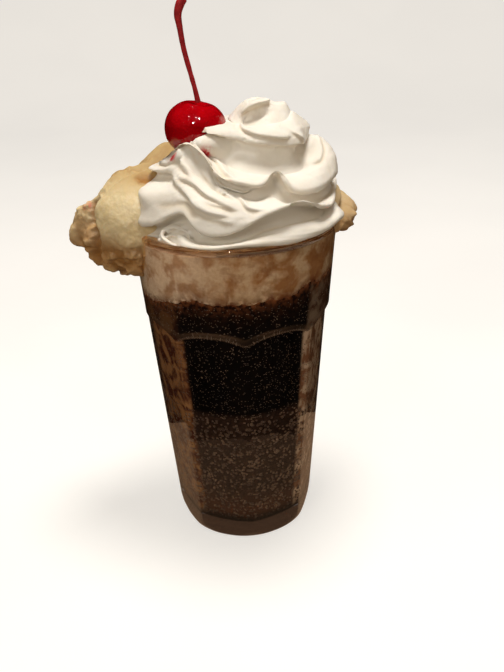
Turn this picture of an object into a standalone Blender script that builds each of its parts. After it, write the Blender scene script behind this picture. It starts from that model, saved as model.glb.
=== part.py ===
# Ice cream float in a panelled glass: soda, foam, two scoops, whipped cream and a cherry.
# Metres, +Z up. The origin is the middle of the glass's flat base; the front is -Y.

import bpy
import bmesh
import numpy as np
from mathutils import Matrix, Vector

MM = 0.001
GAP = 0.3 * MM                    # clearance between pieces that touch

# Glass
GLASS_HEIGHT = 150 * MM
RIM_RADIUS = 44.4 * MM
RIM_WALL = 2.8 * MM
BAND_FOOT = 113 * MM              # where the smooth band under the rim ends
BAND_FOOT_RADIUS = 41.3 * MM
LEDGE_HEIGHT = 105.5 * MM         # the step from the band to the panels, at a corner
LEDGE_CORNER = 40.5 * MM          # radius to a panel corner at the ledge
FOOT_CORNER = 32.5 * MM           # the same near the base
FOOT_HEIGHT = 8 * MM
BASE_RADIUS = 27.5 * MM           # flat that the glass stands on
BASE_THICKNESS = 7.5 * MM
PANELS = 8
PANEL_TURN = 0.068                # radians, so a corner sits just right of the front
ARCH_RISE = 3.2 * MM              # how much higher a panel's top is at its middle
ARCH_SHAPE = 2.2                  # 2 is a parabola, more is squarer
PANEL_CUT = 20 * MM               # half width and depth of a panel cutter
LEDGE_FILLET = (2 * MM, 0.5 * MM)                      # height and width of the step
INSIDE = ((7.5, 22.4), (9, 25.4), (13, 27.8), (60, 31.65), (104, 35.0), (113, 36.6),
          (128, 38.8), (150, 41.6))                    # height and radius in mm
FOOT_ROUND = ((31.6, 4.2), (29.9, 1.3))                # radius and height in mm
RIM_BEAD = RIM_WALL / 2
TURN_STEPS = 48
ARC_STEPS = 6

# What fills it
SODA_TOP = 126.4 * MM
FOAM_TOP = 146.2 * MM

# Ice cream, in mm. Angles are in degrees from the dome's axis; a lump is (toward, height, width).
SCOOP_COLLAR = (124, 15, 3.4)     # angle, width and height of the ragged ring the scoop leaves
SCOOP_CREASE = (103, 6, -2.0)
SCOOP_BACK = (180, 34, -5.0)
SCOOP_RAGGED = 2.4
SCOOP_UNEVEN = 0.5
SCOOP_LEFT = dict(center=(-39.3, 2.0, 148.5), radius=25.0, flat=1.0, axis=(0.5, -0.8, -0.35),
                  lumps=(((-1.0, -0.1, -0.20), 5.0, 20), ((-0.75, -0.3, -0.75), 1.0, 20),
                         ((-0.75, 0.1, 0.60), -7.5, 21), ((-0.30, 0.3, 0.90), -7.0, 24),
                         ((0.42, 0.34, 0.85), 9.5, 15), ((-0.15, -0.36, -0.95), -3.0, 20)))
SCOOP_RIGHT = dict(center=(28.0, 10.0, 149.5), radius=21.0, flat=0.80, axis=(-0.5, -0.3, 0.8),
                   lumps=(((1.0, -0.25, -0.12), 1.4, 20), ((0.6, -0.7, -0.1), 1.0, 16)))

# Whipped cream: each turn is a skirt with a lip. Sizes in mm, angles in degrees from the front,
# positive to the right. A lobe is (angle, width, how much the lip rises, how much it stands out),
# and a fold is the same for the root, where the turn's underside meets the turn below.
CREAM_AXIS = ((2.0, 0.0, 146.0), (5.0, 0.0, 160.0), (10.0, 1.0, 175.0), (12.5, 2.0, 188.0))
CREAM_TURNS = (
    dict(lip=150.6, radius=44.6, tilt=1.6, tilt_at=120, undercut=4.0, flare=-3.0, rise=4.0,
         damp=0.2, folds=(), lobes=((8, 16, -1.2, 0.3), (62, 16, 2.5, 0.6), (150, 22, 2.0, -0.8),
                                    (-35, 16, 0.0, -1.6), (-150, 20, -1.0, 0.6))),
    dict(lip=158.0, radius=42.0, tilt=4.0, tilt_at=120, undercut=6.5, flare=-2.0, rise=4.4,
         damp=0.35, folds=(), lobes=((-64, 14, -0.4, 6.0), (-40, 11, 6.5, -2.0), (-14, 13, -1.6, 0.6),
                                     (26, 17, 7.0, -1.2), (84, 26, -2.0, -4.6),
                                     (120, 18, 3.5, -1.0), (165, 16, -2.5, 1.4),
                                     (-150, 16, 2.5, -1.5), (-100, 16, 5.0, -4.0))),
    dict(lip=171.5, radius=33.5, tilt=8.6, tilt_at=-110, undercut=5.5, flare=0.5, rise=2.8,
         damp=0.3, folds=(), lobes=((-45, 13, 4.0, -1.0), (-6, 12, 0.8, 0.4), (15, 8.5, 7.0, -3.6),
                                    (45, 16, -0.5, 1.6), (80, 20, 3.0, 2.2),
                                    (140, 15, -2.5, 1.0), (-175, 15, 3.0, -1.6),
                                    (-130, 16, -2.0, 0.8))),
    dict(lip=184.2, radius=19.6, tilt=3.2, tilt_at=-90, undercut=5.0, flare=3.0, rise=7.6,
         damp=0.4, folds=((92, 26, 7.0, 1.0),),
         lobes=((-50, 20, 1.4, -1.0), (48, 14, 0.6, 2.6), (100, 22, 4.0, 0.6),
                (150, 20, 3.0, -1.0), (-140, 20, -1.5, 1.2))),
)
CREAM_FOOT = (38.0, 142.0)         # radius and height where the swirl starts, below its seat
CREAM_CROWN = (12.5, 190.5)       # radius and height where the cap starts
CREAM_PEAK = (11.5, 1.0, 199.0)
CREAM_HOLLOW = dict(center=(9.0, -9.5, 192.6), size=(8.5, 6.0, 5.0), depth=4.2)
CREAM_HORN = dict(center=(25.0, 1.0, 194.5), size=(4.2, 5.0, 5.0), height=4.6)
CREAM_AROUND = 68
UNDER_ROWS = 4
TOP_ROWS = 6
CAP_ROWS = 8

# Cherry and its stem
CHERRY_CENTER = (-13.6, -2.0, 188.6)
CHERRY_RADIUS = 12.7
CHERRY_DENT = 3.2
CHERRY_TAPER = 0.20
CHERRY_CROWN = 0.86                        # how flat the top is
CHERRY_HEEL = dict(toward=(-0.78, 0.0, -0.62), height=1.7, width=34)
CHERRY_LEAN = (-0.20, 0.0, -0.98)          # from the stem's dent to the narrow end
STEM_POINTS = ((-12.2, -2.0, 198.4), (-13.2, -2.0, 204.0), (-14.9, -2.0, 211.5),
               (-16.6, -2.0, 219.5), (-17.6, -2.0, 227.5), (-18.0, -2.0, 232.0),
               (-16.9, -2.0, 235.6), (-15.2, -2.0, 238.0))
STEM_RADII = (1.15, 0.95, 0.95, 1.0, 1.15, 1.5, 1.75, 1.7)


def clear_scene():
    for thing in list(bpy.data.objects):
        bpy.data.objects.remove(thing, do_unlink=True)


def new_collection(name):
    collection = bpy.data.collections.new(name)
    bpy.context.scene.collection.children.link(collection)
    return collection


def material(name, color, roughness, metallic=0.0, transmission=0.0):
    made = bpy.data.materials.new(name)
    made.use_nodes = True
    shader = made.node_tree.nodes["Principled BSDF"]
    shader.inputs["Base Color"].default_value = (*color, 1.0)
    shader.inputs["Roughness"].default_value = roughness
    shader.inputs["Metallic"].default_value = metallic
    shader.inputs["Transmission Weight"].default_value = transmission
    made.diffuse_color = (*color, 1.0)
    return made


def add_object(name, mesh, collection, finish=None):
    item = bpy.data.objects.new(name, mesh)
    collection.objects.link(item)
    if finish is not None:
        mesh.materials.append(finish)
    return item


def hide_cutter(item):
    item.hide_render = True
    item.display_type = "WIRE"


def turned(name, profile, collection, finish=None):
    """A profile of (radius, height) turned about Z with a Screw modifier."""
    mesh = bpy.data.meshes.new(name)
    points = [(radius, 0.0, height) for radius, height in profile]
    mesh.from_pydata(points, [(i, i + 1) for i in range(len(points) - 1)], [])
    item = add_object(name, mesh, collection, finish)
    screw = item.modifiers.new("Turn", "SCREW")
    screw.steps = TURN_STEPS
    screw.render_steps = TURN_STEPS
    screw.use_merge_vertices = True
    screw.merge_threshold = 0.00001
    screw.use_smooth_shade = True
    return item


def rounded(center, radius, start, end, steps):
    """Points along an arc in the profile's plane; angles in degrees, 0 points outwards."""
    angles = np.radians(np.linspace(start, end, steps + 1))
    return [(center[0] + radius * np.cos(a), center[1] + radius * np.sin(a)) for a in angles]


def outer_wall(height):
    """Radius of the glass's turned outside at a height, before the panels are cut."""
    step_up, step_out = LEDGE_FILLET
    heights = (FOOT_HEIGHT, LEDGE_HEIGHT, LEDGE_HEIGHT + step_up, BAND_FOOT, GLASS_HEIGHT)
    radii = (FOOT_CORNER, LEDGE_CORNER, LEDGE_CORNER + step_out, BAND_FOOT_RADIUS, RIM_RADIUS)
    return float(np.interp(height, heights, radii))


def inner_wall(height):
    """Radius of the glass's smooth inside at a height."""
    heights, radii = np.array(INSIDE).T * MM
    return float(np.interp(height, heights, radii))


def inside_between(low, high):
    """Heights at which the inside bends, from low up to high."""
    return [height * MM for height, _ in INSIDE if low < height * MM < high]


def panel_cutter(collection, turn):
    """A wide block with an arched top that cuts one flat panel."""
    apothem = np.cos(np.pi / PANELS)
    top = LEDGE_CORNER * apothem
    foot = FOOT_CORNER * apothem
    half_width = LEDGE_CORNER * np.sin(np.pi / PANELS)
    across = np.linspace(PANEL_CUT, -PANEL_CUT, 13)
    arch = LEDGE_HEIGHT + ARCH_RISE * (1 - np.abs(across / half_width) ** ARCH_SHAPE)
    outline = [(u, w) for u, w in zip(across, arch)]
    outline += [(-PANEL_CUT, -10 * MM), (PANEL_CUT, -10 * MM)]
    slope = (top - foot) / (LEDGE_HEIGHT - FOOT_HEIGHT)
    shape = bmesh.new()
    inner = [shape.verts.new((u, -(foot + slope * (w - FOOT_HEIGHT)), w)) for u, w in outline]
    face = shape.faces.new(inner)
    side = bmesh.ops.extrude_face_region(shape, geom=[face])["geom"]
    moved = [v for v in side if isinstance(v, bmesh.types.BMVert)]
    bmesh.ops.translate(shape, verts=moved, vec=(0, -PANEL_CUT, 0))
    bmesh.ops.recalc_face_normals(shape, faces=shape.faces[:])
    bmesh.ops.rotate(shape, verts=shape.verts[:], cent=(0, 0, 0),
                     matrix=Matrix.Rotation(turn, 3, "Z"))
    mesh = bpy.data.meshes.new("panel_cutter")
    shape.to_mesh(mesh)
    shape.free()
    cutter = add_object("panel_cutter", mesh, collection)
    hide_cutter(cutter)
    return cutter


def make_glass(collection, cutters, finish):
    rim = rounded((RIM_RADIUS - RIM_BEAD, GLASS_HEIGHT - RIM_BEAD), RIM_BEAD, 180, 0, ARC_STEPS)
    floor = (inner_wall(BASE_THICKNESS), BASE_THICKNESS)
    inside = [(inner_wall(z), z) for z in inside_between(BASE_THICKNESS, GLASS_HEIGHT)]
    bends = (BAND_FOOT, LEDGE_HEIGHT + LEDGE_FILLET[0], LEDGE_HEIGHT, FOOT_HEIGHT)
    outside = [(outer_wall(z), z) for z in bends]
    foot = [(radius * MM, height * MM) for radius, height in FOOT_ROUND]
    foot += [(BASE_RADIUS, 0.0), (0.0, 0.0)]
    profile = [(0.0, BASE_THICKNESS), floor] + inside + rim + outside + foot
    glass = turned("glass", profile, collection, finish)
    panels = bpy.data.collections.new("panel_cutters")
    cutters.children.link(panels)
    first = PANEL_TURN + np.pi / PANELS
    for index in range(PANELS):
        panel_cutter(panels, first + index * 2 * np.pi / PANELS)
    cut = glass.modifiers.new("Panels", "BOOLEAN")
    cut.operation = "DIFFERENCE"
    cut.operand_type = "COLLECTION"
    cut.collection = panels
    return glass


def make_soda(collection, finish):
    floor = BASE_THICKNESS + GAP
    heights = [SODA_TOP] + inside_between(floor, SODA_TOP)[::-1] + [floor]
    wall = [(inner_wall(z) - GAP, z) for z in heights]
    profile = [(0.0, SODA_TOP)] + wall + [(0.0, floor)]
    return turned("soda", profile, collection, finish)


def make_foam(collection, finish):
    bottom = SODA_TOP + GAP
    heights = [FOAM_TOP] + inside_between(bottom, FOAM_TOP)[::-1] + [bottom]
    wall = [(inner_wall(z) - GAP, z) for z in heights]
    profile = [(0.0, FOAM_TOP)] + wall + [(0.0, bottom)]
    return turned("foam", profile, collection, finish)


def seat_cutter(collection):
    """The glass's mouth and the foam, grown by the gap, to cut what sits on them."""
    level = FOAM_TOP + GAP
    bead = RIM_BEAD + GAP
    rim = rounded((RIM_RADIUS - RIM_BEAD, GLASS_HEIGHT - RIM_BEAD), bead, 180, 0, ARC_STEPS)
    side = outer_wall(BAND_FOOT) + GAP
    profile = [(0.0, level), (inner_wall(level) - GAP, level)] + rim
    profile += [(side, BAND_FOOT), (side, LEDGE_HEIGHT), (0.0, LEDGE_HEIGHT)]
    cutter = turned("seat_cutter", profile, collection)
    hide_cutter(cutter)
    return cutter


def bump(angle, center, width):
    """A smooth hump of 1 at an angle in degrees, fading over the width."""
    away = (angle - center + 180) % 360 - 180
    return np.exp(-(away / width) ** 2)


def noise(points, scale, seed):
    """Soft repeatable unevenness: a sum of waves in seeded directions."""
    draw = np.random.default_rng(seed)
    total = np.zeros(len(points))
    for _ in range(9):
        direction = draw.normal(size=3)
        direction /= np.linalg.norm(direction)
        phase = draw.uniform(0, 2 * np.pi)
        total += np.sin(points @ direction / scale * 2 * np.pi * draw.uniform(0.6, 1.5) + phase)
    return total / 9


def scoop_mesh(name, scoop, grow, level):
    """A ball of ice cream: smooth dome on one side, a ragged collar where the scoop left it."""
    shape = bmesh.new()
    bmesh.ops.create_icosphere(shape, subdivisions=level, radius=1.0)
    direction = np.array([v.co[:] for v in shape.verts])
    direction /= np.linalg.norm(direction, axis=1)[:, None]
    axis = np.array(scoop["axis"]) / np.linalg.norm(scoop["axis"])
    away = np.degrees(np.arccos(np.clip(direction @ axis, -1, 1)))
    size = np.full(len(direction), scoop["radius"])
    for angle, width, height in (SCOOP_COLLAR, SCOOP_CREASE, SCOOP_BACK):
        size += height * np.exp(-((away - angle) / width) ** 2)
    ragged = np.clip((away - SCOOP_CREASE[0] + 8) / 30, 0, 1)
    size += SCOOP_RAGGED * ragged * noise(direction * scoop["radius"], 15, 4)
    size += SCOOP_UNEVEN * noise(direction * scoop["radius"], 12, 8)
    for toward, amount, width in scoop["lumps"]:
        aim = np.array(toward) / np.linalg.norm(toward)
        apart = np.degrees(np.arccos(np.clip(direction @ aim, -1, 1)))
        size += amount * np.exp(-(apart / width) ** 2)
    placed = direction * (size[:, None] * (1, 1, scoop["flat"]) + grow) + np.array(scoop["center"])
    for vertex, position in zip(shape.verts, placed * MM):
        vertex.co = position
    mesh = bpy.data.meshes.new(name)
    shape.to_mesh(mesh)
    shape.free()
    mesh.shade_smooth()
    return mesh


def cream_axis(height):
    """Middle of the swirl at a height: it leans to the right as it rises."""
    marks = np.array(CREAM_AXIS)
    return (np.interp(height, marks[:, 2], marks[:, 0]), np.interp(height, marks[:, 2], marks[:, 1]))


def lip_of(turn, angle):
    """Radius and height of a turn's lip round the swirl."""
    height = turn["lip"] + turn["tilt"] * np.cos(np.radians(angle - turn["tilt_at"]))
    radius = np.full(len(angle), turn["radius"])
    lift = np.zeros(len(angle))
    for center, width, up, out in turn["lobes"]:
        lift += up * bump(angle, center, width)
        radius = radius + out * bump(angle, center, width)
    return radius, height + lift, height + turn["damp"] * lift


def root_of(turn, angle):
    """Where the turn's underside meets the turn below."""
    radius, _, trend = lip_of(turn, angle)
    radius, height = radius + turn["flare"], trend - turn["rise"]
    for center, width, up, out in turn["folds"]:
        height = height + up * bump(angle, center, width)
        radius = radius + out * bump(angle, center, width)
    return radius, height


def cream_rows():
    """Rows of (radius, height) round the swirl, from the foam up to the rim of the cap."""
    angle = np.arange(CREAM_AROUND) * 360 / CREAM_AROUND
    rows = [tuple(np.full(CREAM_AROUND, value) for value in CREAM_FOOT)]
    for index, turn in enumerate(CREAM_TURNS):
        root_r, root_z = root_of(turn, angle)
        lip_r, lip_z, _ = lip_of(turn, angle)
        hold_r = np.minimum(root_r, lip_r) - turn["undercut"]
        hold_z = root_z + 0.72 * (lip_z - root_z) + 0.8
        for step in range(UNDER_ROWS):
            t = step / UNDER_ROWS
            rows.append(((1 - t) ** 2 * root_r + 2 * t * (1 - t) * hold_r + t * t * lip_r,
                         (1 - t) ** 2 * root_z + 2 * t * (1 - t) * hold_z + t * t * lip_z))
        if index + 1 < len(CREAM_TURNS):
            next_r, next_z = root_of(CREAM_TURNS[index + 1], angle)
        else:
            next_r, next_z = (np.full(CREAM_AROUND, value) for value in CREAM_CROWN)
        swell_r, swell_z = lip_r + 1.6, lip_z + 0.42 * (next_z - lip_z) + 0.6
        shelf_r, shelf_z = next_r + 0.5 * (lip_r - next_r), next_z + 0.6
        for step in range(TOP_ROWS):
            t = step / TOP_ROWS
            weights = ((1 - t) ** 3, 3 * t * (1 - t) ** 2, 3 * t * t * (1 - t), t ** 3)
            rows.append((sum(w * r for w, r in zip(weights, (lip_r, swell_r, shelf_r, next_r))),
                         sum(w * z for w, z in zip(weights, (lip_z, swell_z, shelf_z, next_z)))))
    return np.radians(angle), rows


def cream_points():
    """The swirl's rings as points in mm, closed by a cap that runs up to the peak."""
    angle, rows = cream_rows()
    rings = []
    for radius, height in rows:
        middle_x, middle_y = cream_axis(height)
        rings.append(np.column_stack((middle_x + radius * np.sin(angle),
                                      middle_y - radius * np.cos(angle), height)))
    last = rings[-1]
    peak = np.array(CREAM_PEAK)
    for step in range(CAP_ROWS):
        t = step / CAP_ROWS
        ring = last + (peak - last) * t
        ring[:, 2] = last[:, 2] + (peak[2] - last[:, 2]) * np.sin(t * np.pi / 2) ** 0.9
        rings.append(ring)
    points = np.concatenate(rings)
    hollow = (points - np.array(CREAM_HOLLOW["center"])) / np.array(CREAM_HOLLOW["size"])
    inward = np.array((0.15, 0.85, -0.35)) * CREAM_HOLLOW["depth"]
    points += inward * np.exp(-(hollow ** 2).sum(axis=1))[:, None]
    horn = (points - np.array(CREAM_HORN["center"])) / np.array(CREAM_HORN["size"])
    points[:, 2] += CREAM_HORN["height"] * np.exp(-(horn ** 2).sum(axis=1))
    return points, len(rings)


def cream_mesh():
    points, ring_count = cream_points()
    count = CREAM_AROUND
    ends = np.array(((*CREAM_AXIS[0][:2], CREAM_FOOT[1]), CREAM_PEAK))
    faces = []
    for row in range(ring_count - 1):
        for column in range(count):
            after = (column + 1) % count
            low, high = row * count, (row + 1) * count
            faces.append((low + column, low + after, high + after, high + column))
    bottom, top = len(points), len(points) + 1
    last = (ring_count - 1) * count
    for column in range(count):
        after = (column + 1) % count
        faces.append((bottom, after, column))
        faces.append((top, last + column, last + after))
    mesh = bpy.data.meshes.new("whipped_cream")
    mesh.from_pydata((np.concatenate((points, ends)) * MM).tolist(), [], faces)
    mesh.shade_smooth()
    return mesh


def cherry_mesh(name, grow):
    """A ball with a dent at the stem and a narrower lower end."""
    shape = bmesh.new()
    bmesh.ops.create_uvsphere(shape, u_segments=20, v_segments=13, radius=1.0)
    direction = np.array([v.co[:] for v in shape.verts])
    down = np.clip(-direction[:, 2], -1, 1)
    size = CHERRY_RADIUS * (1 - CHERRY_TAPER * np.clip(down, 0, 1) ** 1.5)
    polar = np.degrees(np.arccos(np.clip(direction[:, 2], -1, 1)))
    size = size - CHERRY_DENT * np.exp(-(polar / 17) ** 2) + grow
    placed = direction * size[:, None]
    placed[:, 2] *= np.where(placed[:, 2] > 0, CHERRY_CROWN, 1.0)
    turn = np.array(Vector((0, 0, -1)).rotation_difference(Vector(CHERRY_LEAN)).to_matrix()).T
    heel = np.array(CHERRY_HEEL["toward"]) / np.linalg.norm(CHERRY_HEEL["toward"])
    apart = np.degrees(np.arccos(np.clip(direction @ turn @ heel, -1, 1)))
    swell = CHERRY_HEEL["height"] * np.exp(-(apart / CHERRY_HEEL["width"]) ** 2)
    placed = placed @ turn + swell[:, None] * (direction @ turn) + np.array(CHERRY_CENTER)
    for vertex, position in zip(shape.verts, placed * MM):
        vertex.co = position
    mesh = bpy.data.meshes.new(name)
    shape.to_mesh(mesh)
    shape.free()
    mesh.shade_smooth()
    return mesh


def make_stem(collection, finish):
    curve = bpy.data.curves.new("cherry_stem", "CURVE")
    curve.dimensions = "3D"
    curve.bevel_depth = MM
    curve.bevel_resolution = 2
    curve.resolution_u = 3
    curve.use_fill_caps = True
    spline = curve.splines.new("NURBS")
    spline.points.add(len(STEM_POINTS) - 1)
    spline.use_endpoint_u = True
    spline.order_u = 3
    for point, place, radius in zip(spline.points, STEM_POINTS, STEM_RADII):
        point.co = (*(np.array(place) * MM), 1.0)
        point.radius = radius
    return add_object("cherry_stem", curve, collection, finish)


def cut_with(item, cutters, solver="EXACT"):
    for cutter in cutters:
        cut = item.modifiers.new(cutter.name, "BOOLEAN")
        cut.operation = "DIFFERENCE"
        cut.solver = solver
        cut.object = cutter


def keep_largest(item):
    """Applies the cuts and drops any loose scrap that they leave."""
    graph = bpy.context.evaluated_depsgraph_get()
    mesh = bpy.data.meshes.new_from_object(item.evaluated_get(graph))
    item.modifiers.clear()
    shape = bmesh.new()
    shape.from_mesh(mesh)
    left = set(shape.verts)
    islands = []
    while left:
        start = left.pop()
        island, front = {start}, [start]
        while front:
            vertex = front.pop()
            for edge in vertex.link_edges:
                other = edge.other_vert(vertex)
                if other in left:
                    left.discard(other)
                    island.add(other)
                    front.append(other)
        islands.append(island)
    islands.sort(key=len, reverse=True)
    scraps = [vertex for island in islands[1:] for vertex in island]
    bmesh.ops.delete(shape, geom=scraps, context="VERTS")
    shape.to_mesh(mesh)
    shape.free()
    item.data = mesh


def build():
    clear_scene()
    parts = new_collection("ice_cream_float")
    cutters = new_collection("cutters")
    clear_glass = material("clear_glass", (0.80, 0.78, 0.74), 0.03, transmission=1.0)
    dark_soda = material("dark_soda", (0.030, 0.014, 0.009), 0.15)
    brown_foam = material("brown_foam", (0.25, 0.14, 0.08), 0.6)
    vanilla = material("vanilla_ice_cream", (0.78, 0.62, 0.38), 0.5)
    white_cream = material("white_cream", (0.87, 0.82, 0.74), 0.45)
    red_cherry = material("red_cherry", (0.42, 0.006, 0.012), 0.12)
    red_stem = material("red_stem", (0.36, 0.012, 0.014), 0.35)

    make_glass(parts, cutters, clear_glass)
    make_soda(parts, dark_soda)
    make_foam(parts, brown_foam)
    seat = seat_cutter(cutters)

    gap = GAP / MM
    left = add_object("scoop_left", scoop_mesh("scoop_left", SCOOP_LEFT, 0, 4),
                      parts, vanilla)
    right = add_object("scoop_right", scoop_mesh("scoop_right", SCOOP_RIGHT, 0, 3),
                       parts, vanilla)
    cherry = add_object("cherry", cherry_mesh("cherry", 0), parts, red_cherry)
    left_space = add_object("left_space", scoop_mesh("left_space", SCOOP_LEFT, gap, 4), cutters)
    right_space = add_object("right_space", scoop_mesh("right_space", SCOOP_RIGHT, gap, 3), cutters)
    cherry_space = add_object("cherry_space", cherry_mesh("cherry_space", gap), cutters)
    for space in (left_space, right_space, cherry_space):
        hide_cutter(space)
    cream = add_object("whipped_cream", cream_mesh(), parts, white_cream)
    make_stem(parts, red_stem)

    cut_with(left, (seat,))
    cut_with(right, (seat,))
    cut_with(cream, (seat, left_space, right_space, cherry_space), "MANIFOLD")
    for item in (left, right, cream):
        keep_largest(item)
        item.data.set_sharp_from_angle(angle=np.radians(50))
    cherry.data.set_sharp_from_angle(angle=np.radians(60))


build()
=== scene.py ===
# Looks of the ice cream float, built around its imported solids.
# Shapes are worked out in millimetres and go into the meshes in metres; the front is -Y.

from itertools import combinations, product
from math import comb

import bpy
import numpy as np
from mathutils import Matrix, Vector


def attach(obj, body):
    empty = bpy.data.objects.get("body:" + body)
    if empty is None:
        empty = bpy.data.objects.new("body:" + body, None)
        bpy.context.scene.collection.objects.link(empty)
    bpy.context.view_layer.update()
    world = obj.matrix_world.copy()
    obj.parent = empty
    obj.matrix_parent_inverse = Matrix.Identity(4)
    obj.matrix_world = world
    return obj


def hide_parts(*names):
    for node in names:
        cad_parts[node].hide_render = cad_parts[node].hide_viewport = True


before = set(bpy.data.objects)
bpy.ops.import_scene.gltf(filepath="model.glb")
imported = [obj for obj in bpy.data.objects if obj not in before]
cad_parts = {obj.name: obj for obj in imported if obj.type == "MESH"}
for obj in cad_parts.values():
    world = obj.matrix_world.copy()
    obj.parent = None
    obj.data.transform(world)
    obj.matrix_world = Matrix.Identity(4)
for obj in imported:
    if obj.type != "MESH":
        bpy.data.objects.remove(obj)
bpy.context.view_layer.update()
mm = 0.001
print("frame loaded")


# Camera, lights, floor

cameraPlace = dict(back=352.19, height=262.03, pitch=0.450, yaw=0.017, roll=-0.038, focalPixels=850.0)
imageHeight = 672


def placeCamera():
    # forward comes from yaw and pitch; right and up are then turned round it by the roll
    pitch, yaw, roll = (cameraPlace[key] for key in ("pitch", "yaw", "roll"))
    forward = Vector((np.sin(yaw) * np.cos(pitch), np.cos(yaw) * np.cos(pitch), -np.sin(pitch)))
    level = Vector((np.cos(yaw), -np.sin(yaw), 0))
    up = level.cross(forward)
    right = level * np.cos(roll) + up * np.sin(roll)
    up = up * np.cos(roll) - level * np.sin(roll)
    lens = bpy.data.cameras.new("camera")
    lens.sensor_width = 36
    lens.lens = cameraPlace["focalPixels"] / imageHeight * lens.sensor_width
    lens.clip_start, lens.clip_end = 0.01, 20
    camera = bpy.data.objects.new("camera", lens)
    turned = Matrix((right, up, -forward)).transposed().to_4x4()
    place = Vector((0, -cameraPlace["back"], cameraPlace["height"])) * mm
    camera.matrix_world = Matrix.Translation(place) @ turned
    bpy.context.scene.collection.objects.link(camera)
    bpy.context.scene.camera = camera


# places in metres; all lamps point at the aim
lamps = dict(
    overhead=dict(place=(0.05, 0.02, 0.85), size=0.26, watts=5.2, color=(1.0, 0.98, 0.95)),
    window=dict(place=(-0.50, -0.70, 0.62), size=0.40, watts=2.2, color=(1.0, 0.96, 0.88)),
    rightSide=dict(place=(0.60, -0.45, 0.45), size=0.35, watts=0.5, color=(1.0, 0.87, 0.72)),
)
lampAim = (0, 0, 0.13)
roomLight = dict(color=(1.0, 0.86, 0.69), strength=0.26, seen=(246, 244, 240))
# round cards, in mm, that only reflections see: a brown surface under the glass and a small bright window
cards = dict(
    reflectionCard=dict(place=(0.0, 0.0, -1.0), radius=100.0, color=(1.0, 0.60, 0.34), strength=0.26),
    sparkleCard=dict(place=(-60.0, -604.0, 866.0), radius=60.0, color=(1.0, 1.0, 0.97), strength=200.0),
)


def placeLamps():
    # soft discs round the object, and a dim warm room that the camera sees as pale
    for name, lamp in lamps.items():
        light = bpy.data.lights.new(name, "AREA")
        light.shape = "DISK"
        light.size = lamp["size"]
        light.energy = lamp["watts"]
        light.color = lamp["color"]
        item = bpy.data.objects.new(name, light)
        item.location = lamp["place"]
        item.rotation_euler = (Vector(lampAim) - item.location).to_track_quat("-Z", "Y").to_euler()
        item.visible_glossy = False     # the cards are what the gloss shows
        bpy.context.scene.collection.objects.link(item)
    world = bpy.data.worlds.new("room")
    world.use_nodes = True
    nodes, links = world.node_tree.nodes, world.node_tree.links
    background = nodes["Background"]
    background.inputs["Color"].default_value = (*roomLight["color"], 1)
    background.inputs["Strength"].default_value = roomLight["strength"]
    # the room itself looks pale from any side
    pale, seen, mix = (nodes.new(kind) for kind in ("ShaderNodeBackground", "ShaderNodeLightPath",
                                                    "ShaderNodeMixShader"))
    pale.inputs["Color"].default_value = tone(*roomLight["seen"])
    links.new(seen.outputs["Is Camera Ray"], mix.inputs[0])
    links.new(background.outputs[0], mix.inputs[1])
    links.new(pale.outputs[0], mix.inputs[2])
    links.new(mix.outputs[0], nodes["World Output"].inputs["Surface"])
    world.cycles_visibility.glossy = False      # a dark room shows in the glass
    bpy.context.scene.world = world
    bpy.context.scene.view_settings.view_transform = "Standard"


# Helpers for meshes and noise

def putMesh(name, points, faces, finish, replaced=(), masks=None):
    # points in mm become the vertices; masks are values for each vertex that the finish reads by name
    mesh = bpy.data.meshes.new(name)
    mesh.from_pydata((np.asarray(points) * mm).tolist(), [], faces)
    for label, values in (masks or {}).items():
        layer = mesh.attributes.new(label, "FLOAT", "POINT")
        layer.data.foreach_set("value", np.asarray(values, dtype=np.float32))
    mesh.shade_smooth()
    mesh.materials.append(finish)
    piece = bpy.data.objects.new(name, mesh)
    bpy.context.scene.collection.objects.link(piece)
    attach(piece, "root")
    if replaced:
        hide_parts(*replaced)
    print(name, len(mesh.polygons), "faces")


def wrapFaces(rings, around):
    # quads between neighbouring rings that run anticlockwise seen from above, then a fan round each
    # end; the two ends are the points after the last ring's
    low = np.arange(rings - 1)[:, None] * around
    here = np.arange(around)
    after = (here + 1) % around
    quads = np.stack((low + here, low + after, low + around + after, low + around + here), axis=-1)
    bottom, top = rings * around, rings * around + 1
    last = (rings - 1) * around
    fans = np.concatenate((np.column_stack((np.full(around, bottom), after, here)),
                           np.column_stack((np.full(around, top), last + here, last + after))))
    return quads.reshape(-1, 4).tolist() + fans.tolist()


def closeRings(grid, ends):
    # the points of a grid of rings with its two end points, and their faces
    return np.concatenate((grid.reshape(-1, 3), ends)), wrapFaces(*grid.shape[:2])


def ballRings(rows, around):
    # unit vectors in rings from the bottom of a ball to its top, then its two poles:
    # (sin p cos t, sin p sin t, cos p)
    polar = np.radians(np.linspace(180, 0, rows + 2)[1:-1])[:, None]
    turn = np.radians(np.arange(around) * 360 / around)
    rings = np.stack((np.sin(polar) * np.cos(turn), np.sin(polar) * np.sin(turn),
                      np.cos(polar) * np.ones(around)), axis=-1)
    return np.concatenate((rings.reshape(-1, 3), ((0, 0, -1), (0, 0, 1))))


def smoothThrough(marks, at):
    # cubics through the marks, read at fractional places; the slope at a mark is half the step between
    # its neighbours
    padded = np.concatenate((2 * marks[:1] - marks[1:2], marks, 2 * marks[-1:] - marks[-2:-1]))
    index = np.clip(np.floor(at).astype(int), 0, len(marks) - 2)
    t = (at - index)[:, None]
    a, b, c, d = (padded[index + n] for n in range(4))
    return 0.5 * (2 * b + (c - a) * t + (2 * a - 5 * b + 4 * c - d) * t ** 2
                  + (3 * b - a - 3 * c + d) * t ** 3)


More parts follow.
